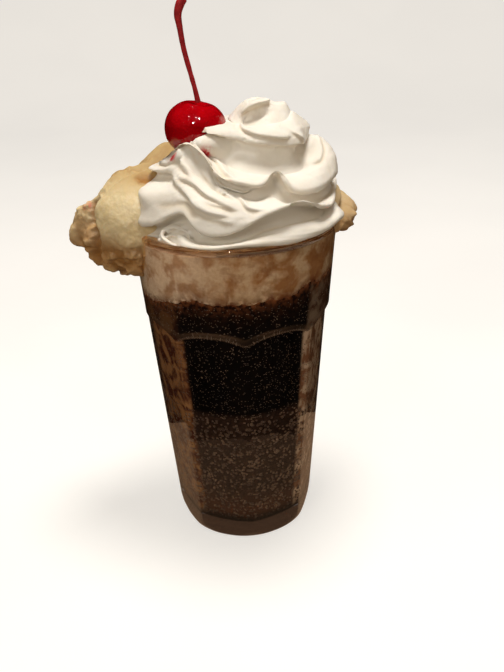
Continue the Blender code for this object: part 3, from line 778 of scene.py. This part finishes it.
# A turn is a lip over an undercut. A lobe lifts the lip by up and pushes it out round an angle, as
# (angle, width, up, out); a fold does that to the turn's root; shallow takes a share of the undercut.
creamShape = dict(
    axis=((2.0, 0.0, 146.0), (5.0, 0.0, 160.0), (10.0, 1.0, 175.0), (12.5, 2.0, 188.0)),
    turns=(
        dict(lip=150.6, radius=44.6, tilt=1.6, tiltAt=120, undercut=4.0, flare=-3.0, rise=4.0, damp=0.2,
             lobes=((0, 17, 2.0, 0.0), (62, 16, 2.0, 0.0), (94, 22, -3.5, -3.4), (-77, 24, 0.0, -10.0),
                    (150, 22, 2.0, -0.8), (-35, 16, 0.0, -1.6), (-150, 20, -1.0, 0.6))),
        dict(lip=158.4, radius=42.0, tilt=4.0, tiltAt=120, undercut=8.5, flare=-2.0, rise=4.4, damp=0.35,
             lobes=((-64, 14, -0.4, 5.2), (-73, 7, 2.0, -0.6), (-40, 11, 6.5, -2.0), (-14, 13, -1.2, 0.6),
                    (8, 11, 2.8, 0.0), (26, 17, 7.0, -1.2), (84, 26, -2.0, -4.6), (120, 18, 3.5, -1.0),
                    (165, 16, -2.5, 1.4), (-150, 16, 2.5, -1.5), (-100, 16, 5.0, -4.0))),
        dict(lip=173.6, radius=33.5, tilt=8.6, tiltAt=-110, undercut=7.5, flare=0.5, rise=4.9, damp=0.3,
             shallow=(-78, 24, 0.95),
             lobes=((-45, 13, 4.0, -1.0), (-6, 12, 0.8, 0.4), (15, 8.5, 7.0, -3.6), (45, 16, -0.5, 1.6),
                    (80, 20, 3.0, 2.2), (140, 15, -2.5, 1.0), (-175, 15, 3.0, -1.6),
                    (-130, 16, -2.0, 0.8))),
        dict(lip=184.2, radius=19.6, tilt=3.2, tiltAt=-90, undercut=7.0, flare=2.2, rise=11.0, damp=0.4,
             folds=((92, 30, 10.0, 1.0), (-90, 40, 3.5, 0.0), (180, 60, 3.5, 0.0)),
             lobes=((-50, 20, 1.4, -1.0), (48, 14, 0.6, 2.6), (100, 22, 4.0, 0.6), (150, 20, 3.0, -1.0),
                    (-140, 20, -1.5, 1.2))),
    ),
    foot=(38.0, 142.0), crown=(12.5, 190.5), peak=(11.5, 1.0, 199.0),
    around=440, underRows=12, topRows=32, capRows=40,
    waves=0.30, waveCell=8.0, waveStretch=(0.55, 0.55, 1.5), grain=0.04, grainCell=0.9,
    streaks=0.16, streakCell=1.7,
)

# A lap is a layer folded over the one below: (lift, reach, marks of angle and level). Its lower edge
# runs through the marks, and it stands out by the lift and fades upwards over the reach.
creamLaps = (
    (1.4, 2.6, ((-52, 2.95), (-42, 2.92), (-32, 2.82), (-22, 2.66), (-12, 2.50))),
    (4.6, 1.4, ((-42, 2.30), (-34, 2.22), (-26, 2.18), (-18, 2.16), (-10, 2.17), (2, 2.22))),
    (1.5, 1.8, ((-47, 2.08), (-38, 2.05), (-30, 2.04), (-22, 2.02), (-14, 1.94), (-9, 1.87))),
    (1.3, 2.2, ((-100, 2.88), (-84, 2.87), (-70, 2.86), (-56, 2.76), (-44, 2.62))),
    (1.2, 2.2, ((-80, 2.72), (-68, 2.66), (-60, 2.40), (-53, 2.14), (-43, 2.03))),
    (1.5, 3.0, ((-104, 1.98), (-90, 1.97), (-77, 1.98), (-63, 2.00), (-52, 1.95), (-42, 1.86))),
    (1.4, 2.2, ((-58, 1.86), (-46, 1.83), (-37, 1.82), (-27, 1.82), (-19, 1.81), (-11, 1.77),
                (-4, 1.70))),
    (1.3, 2.4, ((-62, 1.84), (-54, 1.80), (-48, 1.75), (-42, 1.67), (-36, 1.63), (-26, 1.65),
                (-17, 1.66), (-8, 1.64))),
    (0.7, 2.0, ((-46, 1.60), (-38, 1.58), (-30, 1.59), (-22, 1.61), (-14, 1.60), (-4, 1.53))),
    (0.8, 1.4, ((-32, 1.74), (-24, 1.74), (-17, 1.76), (-10, 1.74), (-6, 1.70))),
    (1.2, 1.8, ((-14, 2.05), (-8, 2.01), (-5, 1.86), (-2, 1.76), (4, 1.70), (11, 1.52))),
    (2.1, 2.4, ((-52, 4.22), (-44, 4.32), (-32, 4.44), (-12, 4.53), (4, 4.57), (60, 4.60))),
    (1.4, 2.4, ((-44, 4.02), (-34, 3.88), (-23, 3.70), (-8, 3.62), (16, 3.58), (38, 3.55))),
    (1.0, 1.8, ((34, 3.70), (42, 3.61), (50, 3.50), (58, 3.44))),
    (1.0, 2.0, ((-80, 3.66), (-68, 3.60), (-58, 3.54), (-46, 3.47))),
    (1.0, 4.0, ((56, 2.95), (66, 2.82), (76, 2.84), (88, 2.92), (100, 2.95))),
    (1.0, 3.0, ((52, 2.06), (66, 2.02), (80, 2.00), (100, 1.95))),
    (2.2, 1.6, ((-58, 0.86), (-52, 1.00), (-48, 1.09), (-42, 1.06), (-35, 1.03), (-27, 0.94))),
    (-0.9, 1.6, ((2, 0.98), (8, 1.02), (15, 1.03), (24, 0.99), (34, 0.96), (50, 1.00))),
    (1.2, 3.5, ((110, 2.75), (130, 2.68), (150, 2.72), (175, 2.80))),
    (1.2, 3.5, ((120, 1.80), (145, 1.72), (170, 1.75), (200, 1.84))),
    (1.2, 3.5, ((185, 2.70), (205, 2.64), (230, 2.72), (250, 2.80))),
    (1.2, 3.5, ((190, 1.66), (215, 1.72), (240, 1.80), (256, 1.88))),
)
# a groove is cut along its marks: (depth, width, marks)
creamGrooves = (
    (1.4, 1.0, ((-42, 2.74), (-34, 2.68), (-26, 2.60), (-18, 2.52))),
    (1.0, 0.9, ((-72, 2.70), (-60, 2.52), (-52, 2.30), (-45, 2.12))),
    (0.5, 1.6, ((-56, 1.60), (-48, 1.55), (-38, 1.52), (-26, 1.52))),
)
creamFold = dict(strength=0.85, dip=0.30, dipAt=-1.3, dipWidth=1.2, slide=0.55, slideAt=0.5, slideWidth=0.8,
                 shadeAt=-0.9, shadeWidth=0.8, fade=10)
creamLips = dict(level=0.42, lift=0.9, reach=2.2, edge=1.2, tear=1.0, tearCell=1.6, shade=0.6)
# a press moves the surface round its center: (center, size, push); the bends come before the folds
creamBends = (
    ((8.2, -6.5, 191.4), (5.6, 5.5, 3.6), (0.84, 4.76, -1.96)),             # the cap's hollow
    ((25.0, 1.0, 194.5), (4.2, 5.0, 5.0), (0.0, 0.0, 4.6)),                 # the second point
)
creamPresses = (
    ((-27.5, -8.0, 175.2), (6.0, 7.5, 2.6), (-8.0, 0.0, -0.4)),             # small left lobe
    ((-28.0, -15.5, 170.4), (5.5, 6.0, 2.4), (6.0, 5.0, 0.4)),              # hollow under it
    ((-33.5, -15.5, 166.0), (5.0, 9.0, 3.6), (-3.6, -0.4, 0.8)),            # big lobe's shoulder
    ((-24.6, -27.5, 153.8), (6.5, 4.0, 2.0), (-0.4, -3.0, 0.6)),            # curl over the ribbon's end
    ((-29.6, -28.0, 150.8), (2.6, 4.0, 3.0), (-1.0, -2.2, 0.0)),
    ((-24.0, -33.0, 150.4), (3.6, 4.0, 1.7), (0.4, 4.4, 0.2)),              # hollow inside the curl
    ((-4.5, -11.5, 187.0), (4.6, 5.5, 4.4), (-6.6, -4.4, 1.2)),             # wing beside the cherry
    ((-9.5, -15.5, 189.8), (2.0, 3.0, 1.6), (-0.8, 0.0, 2.6)),
    ((-6.0, -12.5, 184.6), (3.5, 5.0, 2.0), (-4.0, -2.0, 0.4)),
    ((13.0, -5.0, 193.8), (4.0, 4.0, 2.4), (0.4, 3.6, -1.0)),               # the cap's hollow runs up here
    ((31.0, -5.5, 175.0), (2.0, 2.5, 3.0), (-1.2, 1.8, 0.0)),               # pocket at the right
    ((-16.0, -16.0, 179.0), (7.5, 6.5, 5.0), (-0.5, -0.5, 5.0)),            # ridge before the cherry
    ((-11.5, -15.0, 181.0), (4.5, 4.0, 4.0), (0.0, 0.0, 3.0)),
    ((-5.0, -5.0, 182.5), (6.0, 8.0, 5.0), (-6.0, -11.0, 0.5)),             # wall at the cherry's right
    ((-8.5, -12.5, 184.0), (5.0, 5.0, 5.0), (-3.0, -4.5, 0.0)),
    ((-10.0, -14.5, 184.0), (5.0, 4.0, 4.0), (-2.8, -2.0, 2.0)),
    ((-20.0, -14.0, 178.0), (5.0, 5.0, 4.0), (0.0, -1.0, 4.0)),
)
# the rolled edge of the lowest ribbon's end, as a tapering rope half sunk in the cream
creamCurl = dict(
    marks=((-19.6, -31.5, 147.8), (-20.6, -32.4, 148.1), (-23.3, -32.8, 148.8), (-26.0, -32.2, 150.2),
           (-28.4, -29.8, 151.6), (-28.4, -27.8, 153.2), (-26.3, -26.9, 154.3), (-23.7, -27.4, 155.0),
           (-21.1, -28.8, 154.7), (-18.7, -30.6, 153.7), (-17.3, -32.0, 152.2), (-16.8, -32.2, 150.9)),
    radii=(0.3, 0.8, 1.0, 1.1, 1.3, 1.5, 1.6, 1.5, 1.3, 1.0, 0.7, 0.3), flat=0.6)
# pits at chosen places, and a count of seeded ones
creamPits = dict(count=24, seed=23, radius=(0.35, 0.8), depth=0.7,
                 chosen=((-17.8, -28.0, 164.7), (-13.0, -32.0, 161.8), (-24.8, -26.0, 161.1)))


def lipOf(turn, angle):
    # radius and height of a turn's lip, and the damped height that its root follows
    height = turn["lip"] + turn["tilt"] * np.cos(np.radians(angle - turn["tiltAt"]))
    radius = np.full(len(angle), turn["radius"])
    lift = np.zeros(len(angle))
    for center, width, up, out in turn["lobes"]:
        lift += up * bump(angle, center, width)
        radius = radius + out * bump(angle, center, width)
    return radius, height + lift, height + turn["damp"] * lift


def rootOf(turn, angle):
    # where the turn's underside meets the turn below
    radius, _, trend = lipOf(turn, angle)
    radius, height = radius + turn["flare"], trend - turn["rise"]
    for center, width, up, out in turn.get("folds", ()):
        height = height + up * bump(angle, center, width)
        radius = radius + out * bump(angle, center, width)
    return radius, height


def pulledCurve(t, *controls):
    # a curve that leaves the first control for the last and is pulled by those between; t from 0 to 1
    last = len(controls) - 1
    weights = [comb(last, n) * (1 - t) ** (last - n) * t ** n for n in range(last + 1)]
    return tuple(sum(w * control[part] for w, control in zip(weights, controls)) for part in (0, 1))


def creamGrid():
    # rings of points; each turn is a quadratic curve under the lip and a cubic curve over it.
    # level counts turns: whole at a root, +0.4 at the lip, and runs from 4 to 5 over the cap
    shape = creamShape
    around = shape["around"]
    angle = np.arange(around) * 360 / around
    roots = [rootOf(turn, angle) for turn in shape["turns"]]
    roots.append([np.full(around, value) for value in shape["crown"]])
    rows, levels = [tuple(np.full(around, value) for value in shape["foot"])], [-0.1]
    for index, turn in enumerate(shape["turns"]):
        (rootR, rootZ), (nextR, nextZ) = roots[index:index + 2]
        lipR, lipZ, _ = lipOf(turn, angle)
        center, width, share = turn.get("shallow", (0, 1, 0))
        holdR = np.minimum(rootR, lipR) - turn["undercut"] * (1 - share * bump(angle, center, width))
        under = ((rootR, rootZ), (holdR, rootZ + 0.72 * (lipZ - rootZ) + 0.8), (lipR, lipZ))
        over = ((lipR, lipZ), (lipR + 1.6, lipZ + 0.42 * (nextZ - lipZ) + 0.6),
                (nextR + 0.5 * (lipR - nextR), nextZ + 0.6), (nextR, nextZ))
        for controls, count, start, span in ((under, shape["underRows"], 0, 0.4),
                                             (over, shape["topRows"], 0.4, 0.6)):
            for t in np.arange(count) / count:
                rows.append(pulledCurve(t, *controls))
                levels.append(index + start + span * t)
    radius, height = (np.array([row[part] for row in rows]) for part in (0, 1))
    grid = placeRound(radius, np.radians(angle), height)
    marks = np.array(shape["axis"])
    for part in (0, 1):
        grid[..., part] += np.interp(height, marks[:, 2], marks[:, part])
    t = (np.arange(shape["capRows"]) / shape["capRows"])[:, None, None]
    peak = np.array(shape["peak"])
    cap = grid[-1] + (peak - grid[-1]) * t
    cap[..., 2] = grid[-1][:, 2] + (peak[2] - grid[-1][:, 2]) * np.sin(t[..., 0] * np.pi / 2) ** 0.9
    grid = pressed(np.concatenate((grid, cap)), creamBends)
    return grid, angle, np.concatenate((levels, 4 + t.ravel()))


def pressed(grid, presses):
    # each press moves nearby points by its push, fading as exp(-distance squared)
    for center, size, push in presses:
        grid = grid + np.array(push) * nearness(grid, center, size)
    return grid


def alongMarks(marks, angle, levels, climb, fade=7):
    # where a line through marks crosses each column, as a distance up the column, and its strength
    marks = np.array(marks, float)
    turned = (angle - marks[0, 0] + 180) % 360 - 180 + marks[0, 0]
    level = np.interp(turned, marks[:, 0], marks[:, 1])
    level = np.convolve(np.pad(level, 4, "wrap"), np.full(9, 1 / 9), "valid")
    row = np.interp(level, levels, np.arange(len(levels)))
    low = np.clip(row.astype(int), 0, len(levels) - 2)
    column = np.arange(len(angle))
    at = climb[low, column] + (climb[low + 1, column] - climb[low, column]) * (row - low)
    inside = ease((turned - marks[0, 0]) / fade) * ease((marks[-1, 0] - turned) / fade)
    return at, inside


def climbOf(grid):
    # distance up each column of the grid, in mm
    steps = np.linalg.norm(np.diff(grid, axis=0), axis=-1)
    return np.concatenate((np.zeros((1, grid.shape[1])), np.cumsum(steps, axis=0)))


def foldCream(grid, angle, levels):
    # every lap adds lift * step(distance above its edge) * fading, along the surface's normal, and
    # its edge slides down over a dip; a turn's lip swells the same way and is torn in places
    climb = climbOf(grid)
    normal = gridNormals(grid)
    rise = np.gradient(grid, axis=0)
    rise /= np.maximum(np.linalg.norm(rise, axis=-1, keepdims=True), 1e-9)
    amount, slide, shade = (np.zeros(climb.shape) for _ in range(3))
    fold, lips = creamFold, creamLips
    for lift, reach, marks in creamLaps:
        at, inside = alongMarks(marks, angle, levels, climb, fold["fade"])
        up = climb - at
        step = ease(up + 0.5) * bell(np.clip(up, 0, None), reach)
        dip = fold["dip"] * bell(up - fold["dipAt"], fold["dipWidth"])
        amount += inside * fold["strength"] * lift * (step - dip)
        slide -= inside * fold["slide"] * lift * bell(up - fold["slideAt"], fold["slideWidth"])
        shade += inside * bell(up - fold["shadeAt"], fold["shadeWidth"])
    for depth, width, marks in creamGrooves:
        at, inside = alongMarks(marks, angle, levels, climb)
        cut = inside * bell(climb - at, width)
        amount -= depth * cut
        shade += cut
    torn = layeredNoise(grid, lips["tearCell"], 57, 2) * np.clip(layeredNoise(grid, 14, 58, 1) + 0.15, 0, 1)
    for index in range(len(creamShape["turns"])):
        row = int(np.argmin(np.abs(levels - index - lips["level"])))
        up = climb - climb[row]
        amount += lips["lift"] * ease(up + 0.5) * bell(np.clip(up, 0, None), lips["reach"])
        slide -= bell(up, lips["edge"]) * (0.5 + lips["tear"] * torn)
        shade += lips["shade"] * bell(up + 1.4, 1.6)
    # the second value marks folds, grooves and the undersides of lips, where shade is painted
    return grid + normal * amount[..., None] + rise * slide[..., None], np.clip(shade, 0, 1)


def pitCream(grid):
    # small holes along the normal, at chosen places and at seeded ones
    pits = creamPits
    draw = np.random.default_rng(pits["seed"])
    normal = gridNormals(grid)
    rows = draw.integers(20, len(grid) - 20, pits["count"])
    spots = np.concatenate((pits["chosen"], grid[rows, draw.integers(0, grid.shape[1], pits["count"])]))
    for spot, radius in zip(spots, draw.uniform(*pits["radius"], len(spots))):
        grid = grid - normal * pits["depth"] * nearness(grid, spot, radius)
    return grid


def creamFinish():
    # whipped cream: near white, with painted warm shade in the folds, pink where the cherry's juice ran
    finish = Finish("whippedCream")
    vector = finish.place()
    broad = finish.mottle(vector, 70, 0.35, 0.65, 3)
    color = finish.blend(broad, tone(226, 218, 205), tone(233, 227, 216))
    # painted warm shade in the folds, grooves and under the lips
    color = finish.tint(color, finish.mask("fold"), 0.35, tone(214, 188, 146))
    stain = finish.math("MAXIMUM", finish.spot(vector, (-24.0, -12.5, 180.5), 1.8, 2.8),
                        finish.spot(vector, (-10.2, -17.0, 182.4), 1.8, 2.4))
    stain = finish.math("MULTIPLY", stain, finish.mottle(vector, 420, 0.35, 0.55, 3))
    color = finish.blend(stain, color, tone(196, 50, 58))
    finish.set(Base_Color=color, Roughness=0.40, Subsurface_Weight=0.12,
               Subsurface_Radius=(1.0, 0.75, 0.5), Subsurface_Scale=0.0015, Specular_IOR_Level=0.2)
    finish.relief(finish.mottle(vector, 500, 0.3, 0.7, 3), 0.00015, 0.3)
    return finish.material


def makeCurl(finish):
    # a rope along the curve through the marks, flattened across, its radius running between marks
    curl = creamCurl
    marks, steps = np.array(curl["marks"]), 90
    at = np.linspace(0, len(marks) - 1, steps)
    path = smoothThrough(marks, at)
    radius = np.interp(at, np.arange(len(marks)), curl["radii"])
    swell = (radius * (1 + 0.10 * layeredNoise(path, 3, 83, 2)))[:, None]
    points, faces = closeRings(ringsAlong(path, swell, 28, curl["flat"]), (path[0], path[-1]))
    putMesh("creamCurl", points, faces, finish, masks=dict(fold=np.zeros(len(points))))


def makeCream():
    # the swirl's grid is folded, then pressed and pitted, then given soft waves and fine streaks
    # that run along the turns
    shape = creamShape
    grid, angle, levels = creamGrid()
    grid, fold = foldCream(grid, angle, levels)
    grid = pitCream(pressed(grid, creamPresses))
    normal = gridNormals(grid)
    amount = shape["waves"] * layeredNoise(grid * shape["waveStretch"], shape["waveCell"], 91, 3)
    climb = climbOf(grid)
    girth = np.radians(angle) * 30 + 0 * climb
    lines = np.stack((girth * 0.10, climb + 0.15 * girth, 0 * climb), axis=-1)
    patchy = ease(layeredNoise(grid, 12, 94, 1) + 0.5)
    amount += shape["streaks"] * layeredNoise(lines, shape["streakCell"], 93, 2) * patchy
    amount += shape["grain"] * layeredNoise(grid, shape["grainCell"], 97, 2)
    amount[0] = 0
    grid = grid + normal * amount[..., None]
    points, faces = closeRings(grid, ((*shape["axis"][0][:2], shape["foot"][1]), grid[-1].mean(axis=0)))
    finish = creamFinish()
    # the fold mask is where shade is painted into the cream
    putMesh("whippedSwirl", restOnRim(points), faces, finish, ("whipped_cream",),
            dict(fold=np.concatenate((fold.ravel(), (0, 0)))))
    makeCurl(finish)


# Cherry and stem

cherryShape = dict(center=(-13.6, -2.0, 188.6), radius=12.7, dent=3.2, dentWidth=17, taper=0.20,
                   crown=0.86, heel=(-0.78, 0.0, -0.62), heelHeight=1.7, heelWidth=34,
                   lean=(-0.20, 0.0, -0.98), wrinkle=0.10)
stemShape = dict(
    points=((-12.2, -2.0, 198.4), (-13.2, -2.0, 204.0), (-14.9, -2.0, 211.5), (-16.6, -2.0, 219.5),
            (-17.6, -2.0, 227.5), (-18.0, -2.0, 232.0), (-16.9, -2.0, 235.6), (-15.2, -2.0, 238.0)),
    radii=(1.15, 0.95, 0.95, 1.0, 1.15, 1.5, 1.75, 1.7), ridge=0.06)


def cherryFinish():
    # a wet deep red skin over slightly uneven flesh
    finish = Finish("glossyCherry")
    vector = finish.place()
    broad = finish.mottle(vector, 90, 0.35, 0.65, 3)
    color = finish.blend(broad, tone(146, 1, 8), tone(170, 3, 13))
    finish.set(Base_Color=color, Roughness=0.10, Specular_IOR_Level=0.4, Subsurface_Weight=0.15,
               Subsurface_Radius=(1.0, 0.1, 0.05), Subsurface_Scale=0.002)
    finish.relief(finish.mottle(vector, 240, 0.3, 0.7, 3), 0.0006, 0.6)
    return finish.material


def makeCherry():
    # a ball whose radius shrinks towards the bottom, with a dent on top and a heel at one side
    shape = cherryShape
    rows, around = 110, 160
    direction = ballRings(rows, around)
    size = shape["radius"] * (1 - shape["taper"] * np.clip(-direction[:, 2], 0, 1) ** 1.5)
    size -= shape["dent"] * bell(degreesFrom((0, 0, 1), direction), shape["dentWidth"])
    size += shape["wrinkle"] * layeredNoise(direction * shape["radius"] * (1.6, 1.6, 0.7), 5, 61, 3)
    placed = direction * size[:, None]
    placed[:, 2] *= np.where(placed[:, 2] > 0, shape["crown"], 1.0)
    lean = np.array(Vector((0, 0, -1)).rotation_difference(Vector(shape["lean"])).to_matrix()).T
    leaning = direction @ lean
    swell = shape["heelHeight"] * bell(degreesFrom(shape["heel"], leaning), shape["heelWidth"])
    points = placed @ lean + swell[:, None] * leaning + np.array(shape["center"])
    putMesh("cherryBall", points, wrapFaces(rows, around), cherryFinish(), ("cherry",))


def stemFinish():
    # darker and lighter red along the stalk, under a thin gloss
    finish = Finish("redStem")
    vector = finish.place()
    color = finish.blend(finish.mottle(vector, 300, 0.35, 0.65, 3), tone(150, 12, 22), tone(190, 36, 40))
    finish.set(Base_Color=color, Roughness=0.38, Coat_Weight=0.3, Coat_Roughness=0.2)
    return finish.material


def makeStem():
    # circles carried along a smooth curve through the marks, their radius eased between the marks
    shape = stemShape
    marks, radii = np.array(shape["points"]), np.array(shape["radii"])
    steps, around = 150, 24
    at = np.linspace(0, len(marks) - 1, steps)
    path = smoothThrough(marks, at)
    radius = np.interp(at, np.arange(len(radii)), radii)
    radius = np.convolve(np.pad(radius, 6, "edge"), np.full(13, 1 / 13), "valid")
    ridges = shape["ridge"] * np.sin(np.radians(np.arange(around) * 360 / around) * 5)
    swell = radius[:, None] + ridges + 0.06 * layeredNoise(path, 2.5, 81, 2)[:, None]
    fromTip = np.minimum(np.arange(steps)[::-1] / 5, 1)
    roundTip = np.sqrt(np.clip(1 - (1 - fromTip) ** 2, 0.04, 1))
    grid = ringsAlong(path, swell * roundTip[:, None], around)
    points, faces = closeRings(grid, (path[0], path[-1]))
    putMesh("cherryStalk", points, faces, stemFinish(), ("cherry_stem",))


# Floor

floorShape = dict(width=3.0, front=-1.6, bend=0.9, bendRadius=0.5, rise=1.6)    # metres


def makeFloor():
    # a pale sheet that curves up into a backdrop behind the object
    finish = Finish("paleFloor")
    vector = finish.place()
    color = finish.blend(finish.mottle(vector, 6, 0.4, 0.6, 2), tone(180, 177, 172), tone(186, 183, 178))
    finish.set(Base_Color=color, Roughness=0.6, Specular_IOR_Level=0.2,
               Emission_Color=tone(255, 252, 247), Emission_Strength=0.62)
    shape = floorShape
    turn = np.radians(np.linspace(0, 90, 16))
    radius = shape["bendRadius"]
    y = np.concatenate(((shape["front"],), shape["bend"] + radius * np.sin(turn), (shape["bend"] + radius,)))
    z = np.concatenate(((0.0,), radius - radius * np.cos(turn), (shape["rise"],)))
    half = shape["width"] / 2
    points = np.stack([np.column_stack((np.full(len(y), x), y, z)) for x in (-half, half)], axis=1)
    faces = [(2 * i, 2 * i + 1, 2 * i + 3, 2 * i + 2) for i in range(len(y) - 1)]
    mesh = bpy.data.meshes.new("floor")
    mesh.from_pydata(points.reshape(-1, 3).tolist(), [], faces)
    mesh.shade_smooth()
    mesh.materials.append(finish.material)
    floor = bpy.data.objects.new("floor", mesh)
    bpy.context.scene.collection.objects.link(floor)
    floor.visible_diffuse = floor.visible_glossy = False    # its light and reflection come from the room


def makeCard(name, card):
    # a glowing disc round its place that faces the cherry, out of every ray's sight but a reflection's
    sides = 96
    finish = Finish(name)
    finish.set(Base_Color=(0, 0, 0, 1), Emission_Color=(*card["color"], 1),
               Emission_Strength=card["strength"])
    angle = np.radians(np.arange(sides) * 360 / sides)
    facing = Vector(cherryShape["center"]) - Vector(card["place"])
    turned = np.array(facing.to_track_quat("Z", "Y").to_matrix())
    ring = np.column_stack((np.cos(angle), np.sin(angle), 0 * angle)) * card["radius"] @ turned.T
    if card["place"][2] < 0:
        ring[:, 2] = 0      # the one under the floor lies flat
    mesh = bpy.data.meshes.new(name)
    mesh.from_pydata(((ring + np.array(card["place"])) * mm).tolist(), [], [tuple(range(sides))])
    mesh.materials.append(finish.material)
    item = bpy.data.objects.new(name, mesh)
    item.visible_camera = item.visible_diffuse = item.visible_transmission = item.visible_shadow = False
    bpy.context.scene.collection.objects.link(item)


placeCamera()
placeLamps()
makeFloor()
for cardName, card in cards.items():
    makeCard(cardName, card)
makeGlass()
makeDrink()
vanilla = scoopFinish()
for scoopName, scoop in scoops.items():
    makeScoop(scoopName, scoop, vanilla)
makeCream()
makeCherry()
makeStem()
print("pieces made")
